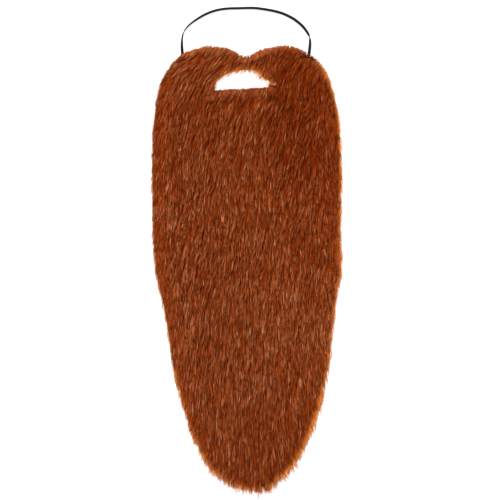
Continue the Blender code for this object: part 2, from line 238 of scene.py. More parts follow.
def make_elastic():
    """The elastic as a closed ribbon with its weave's map, and its middle line."""
    middle, across, through = band_lines()
    profile = band_profile()
    ring = len(profile)
    points = (
        middle[:, None]
        + across[:, None] * profile[None, :, :1]
        + through[:, None] * profile[None, :, 1:]
    )
    faces = []
    for i in range(len(middle) - 1):
        for j in range(ring):
            k = (j + 1) % ring
            faces.append((i * ring + j, i * ring + k, (i + 1) * ring + k, (i + 1) * ring + j))
    faces.append(tuple(range(ring))[::-1])
    faces.append(tuple((len(middle) - 1) * ring + j for j in range(ring)))
    piece = mesh_piece("head_elastic", points.reshape(-1, 3), faces, elastic_material())
    bm = bmesh.new()
    bm.from_mesh(piece.data)
    bmesh.ops.recalc_face_normals(bm, faces=bm.faces)
    weave = bm.loops.layers.uv.new("weave")
    for face in bm.faces:
        for loop in face.loops:
            row, column = divmod(loop.vert.index, ring)
            turn = column if column <= ring // 2 else ring - column
            loop[weave].uv = (turn / (ring // 2), row * BAND_STEP)
    bm.to_mesh(piece.data)
    bm.free()
    return piece, middle


elastic, band_middle = make_elastic()
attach(elastic, "root")
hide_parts("elastic_band")

# Knitted ground
# The cloth that the fur grows from: a warp knit, dyed brown and sized on its back so that the
# hair holds. It is cut to shape with a D for the mouth, and its cut edge is left raw.
KNIT_STEP = 6.5 * MM
EDGE_STEP = 2.5 * MM
MOUTH_STEP = 1.2 * MM
CLOTH_WALL = 1.5 * MM
KNIT_DIP = 0.12 * MM
EDGE_ROUND = 0.25 * MM
SEWN_LENGTH = 13.0 * MM
LIFT_HEIGHT = 1.1 * MM
LIFT_FLAT = 7.0 * MM
LIFT_END = 18.0 * MM


def ease(value, start, end):
    """0 before start, 1 after end, and a smooth rise between."""
    t = np.clip((value - start) / (end - start), 0.0, 1.0)
    return t * t * (3.0 - 2.0 * t)


def bell(away, reach):
    """1 at no distance, falling away smoothly to almost 0 at twice the reach."""
    return np.exp(-((away / reach) ** 2))


def rim_loops(node):
    """The loops where a node's underside meets the rest of it, longest first, anticlockwise."""
    bm = bmesh.new()
    bm.from_mesh(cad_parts[node].data)
    bmesh.ops.remove_doubles(bm, verts=bm.verts, dist=1e-6)
    bmesh.ops.recalc_face_normals(bm, faces=bm.faces)
    after = {}
    for edge in bm.edges:
        down = [face.normal.z < -0.02 for face in edge.link_faces]
        if len(down) == 2 and down[0] != down[1]:
            for vert in edge.verts:
                after.setdefault(vert, []).append(edge.other_vert(vert))
    loops = []
    while after:
        vert = next(iter(after))
        loop = []
        while vert in after:
            loop.append(tuple(vert.co))
            ways = [other for other in after.pop(vert) if other in after]
            vert = ways[0] if ways else None
        loops.append(np.array(loop))
    bm.free()
    turned = []
    for loop in sorted(loops, key=len, reverse=True):
        x, y = loop[:, 0], loop[:, 1]
        area = (x * np.roll(y, -1) - y * np.roll(x, -1)).sum()
        turned.append(loop if area > 0 else loop[::-1])
    return turned


def outward(loop):
    """The unit normals that point out of a loop that runs anticlockwise."""
    tangent = np.roll(loop, -1, axis=0) - np.roll(loop, 1, axis=0)
    normal = np.stack([tangent[:, 1], -tangent[:, 0]], axis=1)
    return normal / np.linalg.norm(normal, axis=1, keepdims=True)


def distance_to(points, loop):
    """How far each point lies from the nearest side of a closed loop."""
    side = np.roll(loop, -1, axis=0) - loop
    reach = (side * side).sum(1)
    found = []
    for part in np.array_split(points, max(len(points) // 4000, 1)):
        offset = part[:, None] - loop[None]
        share = np.clip((offset * side).sum(2) / reach, 0.0, 1.0)
        found.append(np.sqrt(((offset - share[:, :, None] * side) ** 2).sum(2)).min(1))
    return np.concatenate(found)


def nearest(places, others, stretch=1.0):
    """For each place, the index of the nearest of the others, with y counted by stretch."""
    scale = np.array([1.0, stretch])
    found = []
    for part in np.array_split(places, max(len(places) // 2000, 1)):
        gap = (part[:, None] - others[None]) * scale
        found.append((gap**2).sum(2).argmin(1))
    return np.concatenate(found)


def inside(points, loop):
    """Whether each point lies in a closed loop, by the crossings of a line to its right."""
    x, y = points[:, 0, None], points[:, 1, None]
    x0, y0 = loop.T
    x1, y1 = np.roll(loop, -1, axis=0).T
    crosses = (y0 > y) != (y1 > y)
    rise = np.where(y1 == y0, 1.0, y1 - y0)
    return (crosses & (x < x0 + (y - y0) * (x1 - x0) / rise)).sum(1) % 2 == 1


def past(points, loop):
    """How far each point lies outside a loop, negative inside it."""
    return np.where(inside(points, loop), -1.0, 1.0) * distance_to(points, loop)


def scattered(low, high, across, along, wander=0.38):
    """Staggered places over a box, each moved a little at random."""
    columns = np.arange(low[0], high[0], across)
    rows = np.arange(low[1], high[1], along)
    x, y = np.meshgrid(columns, rows)
    x = x + across * 0.5 * (np.arange(len(rows)) % 2)[:, None]
    x = x + across * wander * rng.uniform(-1.0, 1.0, x.shape)
    y = y + along * wander * rng.uniform(-1.0, 1.0, y.shape)
    return np.stack([x.ravel(), y.ravel()], axis=1)


def places_within(edge, hole, step, wander):
    """Staggered places inside an edge and outside a hole, half a step clear of both."""
    places = scattered(edge.min(0), edge.max(0), step, step, wander)
    clear = np.minimum(distance_to(places, edge), distance_to(places, hole)) > 0.5 * step
    return places[clear & inside(places, edge) & ~inside(places, hole)]


def cut_sheet(name, edge, hole, inner, top, bottom, material):
    """A closed sheet cut to an edge with a hole, with the given heights over its places."""
    flat = np.vstack([edge, hole, inner])
    edge_at = np.arange(len(edge))
    hole_at = np.arange(len(hole)) + len(edge)
    held = []
    for loop in (edge_at, hole_at):
        held += [(int(a), int(b)) for a, b in zip(loop, np.roll(loop, -1))]
    found = delaunay_2d_cdt([tuple(p) for p in flat], held, [], 0, 1e-7)
    origin = np.array([ids[0] for ids in found[3]])
    faces = origin[np.array(found[2])]
    middles = flat[faces].mean(1)
    faces = faces[inside(middles, edge) & ~inside(middles, hole)]
    a, b, c = flat[faces].transpose(1, 0, 2)
    turn = (b[:, 0] - a[:, 0]) * (c[:, 1] - a[:, 1]) - (b[:, 1] - a[:, 1]) * (c[:, 0] - a[:, 0])
    faces[turn < 0] = faces[turn < 0][:, ::-1]
    high, low = top(flat), bottom(flat)
    rim = np.concatenate([edge_at, hole_at])
    bulge = np.vstack([edge + outward(edge) * EDGE_ROUND, hole - outward(hole) * EDGE_ROUND])
    middle = np.column_stack([bulge, 0.5 * (high + low)[rim]])
    points = np.vstack([np.column_stack([flat, high]), np.column_stack([flat, low]), middle])
    under, bulged = len(flat), 2 * len(flat)
    walls = []
    for loop, turned in ((edge_at, False), (hole_at, True)):
        for a, b in zip(loop, np.roll(loop, -1)):
            upper_half = (a + bulged, b + bulged, b, a)
            lower_half = (a + under, b + under, b + bulged, a + bulged)
            walls += [quad[::-1] if turned else quad for quad in (upper_half, lower_half)]
    sides = faces.tolist() + (faces[:, ::-1] + under).tolist()
    return mesh_piece(name, points, sides + walls, material)


def knit_material():
    """The back of a warp knit: upright wales and finer courses under a thin coat of size."""
    material, shader = cloth_material("brown_knit", (0.105, 0.038, 0.016), 0.85)
    tree = material.node_tree
    place = add_node(tree, "TexCoord")
    wale_size = {"Scale": 250.0, "Distortion": 0.8, "Detail Scale": 2.0}
    wales = add_node(tree, "TexWave", wale_size, bands_direction="X")
    course_size = {"Scale": 330.0, "Distortion": 1.2}
    courses = add_node(tree, "TexWave", course_size, bands_direction="Y")
    weave = add_node(tree, "Math", {1: 0.55}, operation="MULTIPLY_ADD")
    patches = add_node(tree, "TexNoise", {"Scale": 38.0, "Detail": 6.0})
    blend = add_node(tree, "Math", {1: 0.45}, operation="MULTIPLY_ADD")
    shade = add_ramp(tree, (0.25, (0.058, 0.020, 0.008)), (0.85, (0.150, 0.060, 0.028)))
    relief = add_node(tree, "Bump", {"Strength": 0.7, "Distance": 0.25 * MM})
    link_up(
        tree,
        (place, "Object", wales, "Vector"),
        (place, "Object", courses, "Vector"),
        (place, "Object", patches, "Vector"),
        (courses, "Fac", weave, 0),
        (wales, "Fac", weave, 2),
        (weave, "Value", blend, 0),
        (patches, "Fac", blend, 2),
        (blend, "Value", shade, "Fac"),
        (shade, "Color", shader, "Base Color"),
        (weave, "Value", relief, "Height"),
        (relief, "Normal", shader, "Normal"),
    )
    return material


cloth_edge, mouth_cut = (loop[:, :2] for loop in rim_loops("base_cloth")[:2])
fur_rim, lips_rim = rim_loops("fur_pile")[:2]
cut_edge = evenly(smooth_curve(cloth_edge, closed=True, steps=4), EDGE_STEP, closed=True)
cut_mouth = evenly(mouth_cut, MOUTH_STEP, closed=True)
sewn = band_middle[:, :2]
sewn_count = round(SEWN_LENGTH / BAND_STEP)
sewn = np.vstack([sewn[:sewn_count], sewn[-sewn_count:]])


def cloth_lift(places):
    """How far the ground rises over the elastic's two sewn ends."""
    away = np.linalg.norm(places - sewn[nearest(places, sewn)], axis=1)
    return LIFT_HEIGHT * (1.0 - ease(away, LIFT_FLAT, LIFT_END))


def cloth_top(places):
    """The height of the ground's face, which dips a little here and there."""
    x, y = places.T
    wave = 0.5 + 0.5 * np.sin(70.0 * x + 31.0 * y) * np.sin(57.0 * y - 24.0 * x)
    return cloth_lift(places) + CLOTH_WALL - KNIT_DIP * wave


low, high = cut_edge.min(0), cut_edge.max(0)
knit_places = places_within(cut_edge, cut_mouth, KNIT_STEP, wander=0.2)
ground = cut_sheet(
    "knitted_ground", cut_edge, cut_mouth, knit_places, cloth_top, cloth_lift, knit_material()
)
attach(ground, "root")
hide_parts("base_cloth")

# Underfur
# Short dense fibre that fills the fur between the long hairs, so no ground shows through.
# It is combed with the hair and lies in shallow ridges, and its colour is darker than the hair's as
# painted shade of the hair over it.
UNDERFUR_STEP = 3.8 * MM
PANEL_TOP = 280.0 * MM
PANEL_BOTTOM = -280.0 * MM
PILE_HEIGHT = 12.5 * MM
UNDERFUR_SHARE = 0.36
BED = 1.7 * MM
OVER_EDGE = 0.8 * MM
HAIR_LINE_STEP = 4.0 * MM
FLUFF = 1.2 * MM
LIP_FLUFF = 0.9 * MM
LIP_MIDDLE = 229.5 * MM
MOUTH_RIGHT = 26.5 * MM

# The hair over the mouth's right end hangs lower: its middle, its reach and how far it hangs
HANG_MIDDLE = 21.0 * MM
HANG_REACH = 4.5 * MM
HANG_DEPTH = 4.2 * MM

# The underfur stops short of the hair, more so at the foot, and least at the upper lip's right
FIBRE_EDGE_STEP = 2.4 * MM
FIBRE_MOUTH_STEP = 2.0 * MM
FIBRE_INSET = (1.2, 2.4)
FOOT_INSET = 4.5 * MM
LIP_INSET = 1.0 * MM
RIGHT_LIP_INSET = 1.6 * MM

# The painted backlit glow at the fur's edges is a clear orange, from just outside the fur's line to
# some way in from it
BACKLIT_GLOW_COLOUR = (0.98, 0.330, 0.050, 1.0)
BACKLIT_GLOW_OVER = -1.0 * MM
LIP_GLOW_WIDTH = 9.5 * MM

# The two tacks that hold the hair down over the elastic's ends: both ends of each, in mm
TACKS = (((-87.0, 259.9), (-76.3, 264.2)), ((69.3, 267.4), (81.8, 265.3)))

# The small pit where the locks part under the nose, in mm; the hair rooted there is darkened with
# painted shade
PIT = (8.9, 257.0)

# How far the fur stands out past its tufts along the outline: x, y and the reach, in mm
GROWTH = (
    (-84.0, 263.0, 1.7),
    (-61.6, -222.6, -3.9),
    (-55.8, -233.2, -3.6),
    (-49.4, -243.3, -2.2),
    (-41.9, -252.6, -2.2),
    (-33.3, -261.0, -4.0),
    (-23.2, -267.6, -2.4),
    (-12.6, -273.3, -4.0),
    (-1.8, -278.4, -6.9),
    (10.0, -279.0, -6.7),
    (21.1, -274.4, 0.4),
    (31.7, -268.8, 1.2),
    (41.3, -261.6, -2.0),
    (50.2, -253.5, -1.5),
    (58.7, -245.0, -2.2),
    (65.5, -235.2, -2.9),
    (70.7, -224.3, -2.4),
    (78.8, -201.7, -0.1),
    (86.6, -179.0, 0.5),
    (93.3, -155.9, 0.6),
    (98.8, -132.5, 0.3),
    (104.1, -96.9, 0.7),
    (108.7, -61.1, 0.4),
    (112.1, -37.4, -0.7),
    (116.6, -1.6, 1.1),
    (117.1, 22.4, 0.8),
    (117.4, 70.5, -0.1),
    (118.1, 106.5, 0.4),
    (115.5, 178.5, 0.9),
    (106.3, 225.6, 0.9),
    (92.2, 258.5, -1.5),
    (62.1, 277.7, -1.1),
    (50.3, 279.7, -1.3),
    (26.7, 276.4, -0.5),
    (15.3, 272.6, 0.9),
    (4.3, 267.9, -0.8),
    (-1.5, 266.0, -1.6),
    (-7.5, 267.9, -0.4),
    (-18.3, 273.1, 0.3),
    (-41.5, 279.0, -0.8),
    (-65.2, 276.2, -0.9),
    (-94.4, 256.0, -0.9),
    (-106.6, 235.5, -0.3),
    (-114.5, 200.5, -0.4),
    (-117.6, 140.5, -0.2),
    (-117.8, 80.4, -1.2),
    (-116.7, 44.4, -0.2),
    (-114.8, 8.4, -0.8),
    (-104.7, -38.5, 0.3),
    (-91.9, -121.6, -1.4),
    (-79.3, -167.9, -1.4),
    (-70.3, -202.8, -2.8),
)


tip_at = 0 if fur_rim[::2, 2].mean() < fur_rim[1::2, 2].mean() else 1
hair_line = evenly(smooth_curve(fur_rim[tip_at::2, :2], closed=True), HAIR_LINE_STEP, closed=True)
growth = np.array(GROWTH) * MM
grown = nearest(growth[:, :2], hair_line)
turns = np.argsort(grown)
fluff = np.interp(np.arange(len(hair_line)), grown[turns], growth[turns, 2], period=len(hair_line))
hair_line = hair_line + outward(hair_line) * (FLUFF + fluff)[:, None]
lips = evenly(lips_rim[:, :2], MOUTH_STEP, closed=True)
lips = lips - outward(lips) * LIP_FLUFF
x, y = lips.T
hangs = HANG_DEPTH * bell(x - HANG_MIDDLE, HANG_REACH)
y = np.where(y > LIP_MIDDLE, np.maximum(y - hangs, LIP_MIDDLE), y)
lips = np.column_stack([np.minimum(x, MOUTH_RIGHT), y])

# Where the nap swings aside: x, y and the reach along each, in mm, and the turn in degrees
SWIRLS = (
    (45.0, 183.0, 30.0, 22.0, -8.0),
    (-8.0, 175.0, 30.0, 14.0, 8.0),
    (0.0, 219.0, 32.0, 15.0, -15.0),
    (5.0, 258.0, 12.0, 10.0, 16.0),
    (33.0, 255.0, 15.0, 22.0, 13.0),
    (-66.0, 265.0, 18.0, 14.0, -5.0),
    (80.0, 185.0, 22.0, 40.0, -8.0),
    (100.0, 55.0, 14.0, 35.0, 9.0),
    (-92.0, 100.0, 28.0, 26.0, 8.0),
    (-85.0, -50.0, 20.0, 32.0, -6.0),
    (-40.0, 135.0, 18.0, 25.0, -6.0),
    (75.0, -190.0, 20.0, 40.0, 8.0),
    (-45.0, -205.0, 30.0, 20.0, 5.0),
    (-32.0, 116.0, 20.0, 15.0, -7.0),
    (12.0, 34.0, 20.0, 20.0, -6.0),
    (-50.0, -21.0, 20.0, 15.0, -9.0),
    (15.0, -76.0, 35.0, 14.0, 3.0),
)


def hair_lean(x, y):
    """The angle from straight down to the way the hair lies, positive towards +X, in radians."""
    # The moustache is swept to the left, and the sweep dies away down the panel
    below = PANEL_TOP - y
    right, far = ease(x, -20 * MM, 35 * MM), ease(x, 40 * MM, 64 * MM)
    sweep_left = 52.0 * np.exp(-below / (62 * MM))
    sweep_right = 50.0 * np.exp(-below / (36 * MM))
    sweep_far = 38.0 * (1.0 - ease(below, 12 * MM, 62 * MM)) + 8.0 * np.exp(-below / (100 * MM))
    sweep = sweep_left * (1.0 - right) + (sweep_right * (1.0 - far) + sweep_far * far) * right

    # At the right cheek it turns outwards, and towards the foot it fans out to both sides
    cheek = 9.0 * ease(x, 80 * MM, 108 * MM) * ease(below, 30 * MM, 60 * MM)
    wave = 3.0 * np.sin(38.0 * x + 21.0 * y) + 2.0 * np.sin(90.0 * y - 30.0 * x + 1.0)
    low_part = ease(-y, 30 * MM, 120 * MM)
    fan = 7.0 * low_part * x / (75 * MM)
    fan = fan + 12.0 * x / (60 * MM) * np.exp(-(y - PANEL_BOTTOM) / (35 * MM))
    lean = -3.0 + 2.5 * low_part - sweep + cheek + wave + fan
    for at_x, at_y, wide, tall, turn in np.array(SWIRLS) * (MM, MM, MM, MM, 1.0):
        lean = lean + turn * np.exp(-(((x - at_x) / wide) ** 2) - ((y - at_y) / tall) ** 2)
    return np.radians(lean)


def from_tacks(places):
    """How far each place lies from the nearer of the two tacks."""
    found = []
    for ends in TACKS:
        start, span = np.array(ends[0]) * MM, (np.array(ends[1]) - np.array(ends[0])) * MM
        share = np.clip(((places - start) @ span) / (span @ span), 0.0, 1.0)
        found.append(np.hypot(*(places - start - share[:, None] * span).T))
    return np.minimum(*found)


def near_pit(places, reach):
    """How close each place lies to the pit, from 1 in it to 0 far away."""
    return bell(np.hypot(*(places - np.array(PIT) * MM).T), reach)


def pile_height(places):
    """The fur's height over the ground: full in the middle and lower towards each edge."""
    edge = 0.20 + 0.30 * ease(places[:, 1], 215 * MM, 255 * MM)
    rise = ease(distance_to(places, hair_line), 0.0, 24 * MM)
    mouth = 0.50 + 0.50 * ease(distance_to(places, lips), 0.0, 14 * MM)
    swell = 1.0 + 0.06 * np.sin(52.0 * places[:, 0] + 3.0 * np.sin(31.0 * places[:, 1]))
    held = 0.28 + 0.72 * ease(from_tacks(places), 0.8 * MM, 5.0 * MM)
    return PILE_HEIGHT * (edge + (1.0 - edge) * rise) * mouth * swell * held


def underfur_bottom(places):
    """Just over the ground, and down near the table where the fibre hangs past its edge."""
    over = np.minimum(-past(places, cut_edge), past(places, cut_mouth))
    return OVER_EDGE + (BED - OVER_EDGE) * ease(over, -0.5 * MM, 0.5 * MM) + cloth_lift(places)


def underfur_top(places):
    """The height of the underfur's face, in shallow ridges that run with the hair."""
    x, y = places.T
    slide = x - np.tan(hair_lean(x, y)) * (PANEL_TOP - y) * 0.3
    ridge = np.sin(slide * 900.0 + 2.0 * np.sin(y * 160.0)) * np.sin(y * 210.0 + slide * 70.0)
    return underfur_bottom(places) + pile_height(places) * UNDERFUR_SHARE * (1.0 + 0.35 * ridge)


def backlit_glow_group():
    """A shared effect: painted backlit glow, the fibre turned a clear orange where it thins out at an
    edge, as if light shone through it.
    """
    group = bpy.data.node_groups.new("Painted Backlit Glow", "ShaderNodeTree")
    group.interface.new_socket("Color", in_out="INPUT", socket_type="NodeSocketColor")
    group.interface.new_socket("Color", in_out="OUTPUT", socket_type="NodeSocketColor")
    start = group.nodes.new("NodeGroupInput")
    end = group.nodes.new("NodeGroupOutput")
    backlit_glow = add_node(group, "Attribute", attribute_name="backlit_glow")
    mix = add_node(group, "Mix", {"B": BACKLIT_GLOW_COLOUR}, data_type="RGBA")
    link_up(
        group,
        (backlit_glow, "Fac", mix, "Factor"),
        (start, "Color", mix, "A"),
        (mix, "Result", end, "Color"),
    )
    return group


painted_backlit_glow = backlit_glow_group()


def backlit_glow_share(places):
    """How much painted backlit glow the fibre gets: strongest at the foot, the right side and the
    upper lip.
    """
    x, y = places.T
    out_x, out_y = outward(hair_line)[nearest(places, hair_line)].T
    left, right = ease(-out_x, 0.3, 0.9), ease(out_x, 0.2, 0.9)
    foot, top = ease(-out_y, 0.3, 0.8), ease(out_y, 0.3, 0.9)
    notch = top * bell(x + 2 * MM, 16 * MM)
    width = (4.0 + 3.8 * right * (1.0 - 0.6 * foot) + 4.0 * top + 2.8 * foot) * MM
    strength = 0.54 + (0.16 + 0.14 * ease(y, -40 * MM, 60 * MM)) * right - 0.34 * top + 0.34 * foot
    strength += 0.10 * left * ease(-y, 0.0, 60 * MM) - 0.18 * notch
    strength = np.clip(strength, 0.0, 0.88)
    rim = strength * (1.0 - ease(-past(places, hair_line), BACKLIT_GLOW_OVER, width)) ** 2.0
    lip = 0.62 + 0.16 * ease(x, 2 * MM, 12 * MM)
    lip *= (1.0 - ease(past(places, lips), BACKLIT_GLOW_OVER, LIP_GLOW_WIDTH)) ** 2.0
    found = np.maximum(rim, lip * (y > LIP_MIDDLE))
    found *= 1.0 - near_pit(places, 5.0 * MM)
    return found * ease(from_tacks(places), 2.0 * MM, 10.0 * MM)


def underfur_material():
    """Fibre darkened as painted shade: dark rust with fine streaks along the hair."""
    material, shader = cloth_material("underfur_fibre", (0.20, 0.03, 0.004), 0.9)
    shader.inputs["Specular IOR Level"].default_value = 0.0
    tree = material.node_tree
    place = add_node(tree, "TexCoord")
    comb_out = add_node(tree, "Mapping", {"Scale": (1.0, 0.16, 0.3)})
    streaks = add_node(tree, "TexNoise", {"Scale": 900.0, "Detail": 5.0})
    shade = add_ramp(tree, (0.3, (0.128, 0.0160, 0.0016)), (0.75, (0.272, 0.0420, 0.0056)))
    # The painted backlit glow at the thin edges
    edge = add_node(tree, "Group", node_tree=painted_backlit_glow)
    relief = add_node(tree, "Bump", {"Strength": 0.8, "Distance": 0.8 * MM})
    link_up(
        tree,
        (place, "Object", comb_out, "Vector"),
        (comb_out, "Vector", streaks, "Vector"),
        (streaks, "Fac", shade, "Fac"),
        (shade, "Color", edge, "Color"),
        (edge, "Color", shader, "Base Color"),
        (streaks, "Fac", relief, "Height"),
        (relief, "Normal", shader, "Normal"),
    )
    return material


fibre_edge = evenly(hair_line, FIBRE_EDGE_STEP, closed=True)
inset = rng.uniform(*FIBRE_INSET, len(fibre_edge)) * MM
inset += FOOT_INSET * ease(-outward(fibre_edge)[:, 1], 0.3, 0.9)
fibre_edge = fibre_edge - outward(fibre_edge) * inset[:, None]
fibre_mouth = evenly(lips, FIBRE_MOUTH_STEP, closed=True)
x, y = fibre_mouth.T
right_lip = ease(x, 4 * MM, 14 * MM) * (y > LIP_MIDDLE + 2 * MM)
inset = LIP_INSET + RIGHT_LIP_INSET * right_lip
fibre_mouth = fibre_mouth + outward(fibre_mouth) * inset[:, None]
fibre_places = places_within(fibre_edge, fibre_mouth, UNDERFUR_STEP, wander=0.25)
underfur = cut_sheet(
    "underfur",
    fibre_edge,
    fibre_mouth,
    fibre_places,
    underfur_top,
    underfur_bottom,
    underfur_material(),
)
underfur_places = np.array([vert.co[:2] for vert in underfur.data.vertices])
# Each point's share of the painted backlit glow
underfur_glow = underfur.data.attributes.new("backlit_glow", "FLOAT", "POINT")
underfur_glow.data.foreach_set("value", backlit_glow_share(underfur_places).astype(np.float32))
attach(underfur, "root")
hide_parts("fur_pile")

# Long hair
# Soft straight fibre in ginger brown, brushed down into wisps of a few hairs, which lie
# together in pointed locks. Each hair is a thin tapered needle, darker at its root.
HAIR_LENGTH = 24.0 * MM
HAIR_RADIUS = 0.21 * MM
FUZZ_RADIUS = 0.10 * MM
FUZZ_DEPTHS = (1.0 * MM, 3.0 * MM)
FUZZ_STEP = 1.15 * MM
FUZZ_LENGTH = (4.5, 9.0)
TUFT_RADIUS = 0.17 * MM
HAIRS_IN_WISP = 3
WISP_ACROSS = 1.50 * MM
WISP_ALONG = 4.2 * MM
LOCK_ACROSS = 6.0 * MM
LOCK_ALONG = 11.0 * MM
GATHER = 0.35
ROOT_DEPTH = 0.3 * MM
OVER_TABLE = 0.9 * MM
PIT_REACH = 3.4 * MM
SIDES = 3

# A hair's stations from root to tip, with its share of the rise and of the radius at each
STATIONS = np.array([0.0, 0.34, 0.70, 1.0])
RISE = np.array([0.0, 0.64, 0.93, 1.0])
TAPER = np.array([0.80, 1.0, 0.75, 0.10])
FORWARD = 0.88

# Turns of a whole lock and of one wisp to either side, in degrees
LOCK_TURN = 4.4
WISP_TURN = 3.8

# Extra rows of roots along the cut edges, and along the hem at the foot
EDGE_DEPTHS = (0.3 * MM, 1.6 * MM, 3.0 * MM, 4.6 * MM)
EDGE_ROW_STEP = 1.3 * MM
HEM_STEP = 1.1 * MM
HEM_RISES = (2.0 * MM, 4.5 * MM, 7.0 * MM)

# How far in from an edge its hair is held at the brim, bends out over it, and follows it
HOLD_REACH = 4.5 * MM
BRIM_REACH = 5.0 * MM
FOLLOW_REACH = 14.0 * MM

# The lower lip's hair lies evenly, and elsewhere the tips are uneven
LIP_BAND = 8.0 * MM
LIP_UNEVEN = 0.12 * MM
EDGE_UNEVEN = 0.45 * MM

# The tufts over the mouth's right end: root, tip, spread and height in mm, hairs and tint
LIP_TUFTS = (
    ((8.0, 253.0), (4.4, 245.8), 1.2, 6.0, 6, 0.45),
    ((14.0, 252.0), (10.6, 246.2), 1.6, 6.0, 12, 0.35),
    ((18.5, 250.5), (14.6, 244.6), 1.6, 6.0, 16, 0.30),
    ((21.0, 249.5), (16.6, 239.0), 1.3, 6.5, 64, 0.22),
    ((27.5, 247.0), (22.0, 240.2), 2.0, 6.5, 34, 0.25),
    ((33.0, 245.0), (28.2, 239.4), 2.4, 7.0, 44, 0.30),
    ((36.0, 238.0), (27.4, 231.4), 1.6, 7.5, 60, 0.36),
    ((36.5, 235.0), (26.6, 229.9), 1.4, 7.0, 44, 0.36),
    ((38.5, 232.6), (30.6, 230.8), 0.5, 14.0, 18, 1.35),
)

# Short lines in millimetres where the hair parts: at both tacks, and by the nose
PARTINGS = (*TACKS, ((6.6, 258.0), (11.2, 256.0)))


def comb(places):
    """The unit vectors down the comb and across it, to the right, at each place."""
    angle = hair_lean(places[:, 0], places[:, 1])
    down = np.stack([np.sin(angle), -np.cos(angle)], axis=1)
    return down, np.stack([np.cos(angle), np.sin(angle)], axis=1)


def hair_path(roots, length, turn, hold, brim):
    """The places in plan at each station. Near an edge a hair first bends out over the brim."""
    path = [roots]
    for start, end in zip(STATIONS[:-1], STATIONS[1:]):
        here = path[-1]
        angle = hair_lean(here[:, 0], here[:, 1]) + turn * (0.5 + end)
        step = length * FORWARD * (end - start) * (1.0 - hold * (1.0 - start) ** 1.5)
        path.append(here + step[:, None] * np.stack([np.sin(angle), -np.cos(angle)], axis=1))
    stay = np.outer(hold, (0.0, 1.0, 0.35, 0.0)) + np.outer(1.0 - hold, (0.0, 0.75, 1.0, 1.0))
    return np.stack(path, axis=1) + brim[:, None] * stay[:, :, None]


def overhang(path):
    """How far each path reaches past the fur's outline or into the mouth, at its worst."""
    halfway = 0.5 * (path[:, 1:-1] + path[:, 2:])
    flat = np.concatenate([halfway, path[:, 2:]], axis=1)
    over = np.maximum(past(flat.reshape(-1, 2), hair_line), -past(flat.reshape(-1, 2), lips))
    return over.reshape(len(path), -1).max(1)


def trimmed(roots, length, turn, hold, brim, allowed):
    """The lengths again, cut down where a hair would reach too far past the outline."""
    near = np.flatnonzero(overhang(hair_path(roots, length, turn, hold, brim)) > allowed)
    short, long = np.zeros(len(near)), np.ones(len(near))
    for _ in range(6):
        share = 0.5 * (short + long)
        trial = hair_path(roots[near], length[near] * share, turn[near], hold[near], brim[near])
        fits = overhang(trial) <= allowed[near]
        short, long = np.where(fits, share, short), np.where(fits, long, share)
    length = length.copy()
    length[near] *= np.maximum(short, 0.15)
    return length


def edge_rows(loop, way_out):
    """Extra places just inside a cut edge, for where no hair falls over it from above."""
    rows = []
    for depth in EDGE_DEPTHS:
        row = evenly(loop - way_out * depth, EDGE_ROW_STEP, closed=True)
        row = row + rng.uniform(-0.4, 0.4, row.shape) * EDGE_ROW_STEP
        out = way_out[nearest(row, loop)]
        against = -(out * comb(row)[0]).sum(1)
        rows.append(row[rng.uniform(-0.6, 0.6, len(row)) < against])
    return np.vstack(rows)


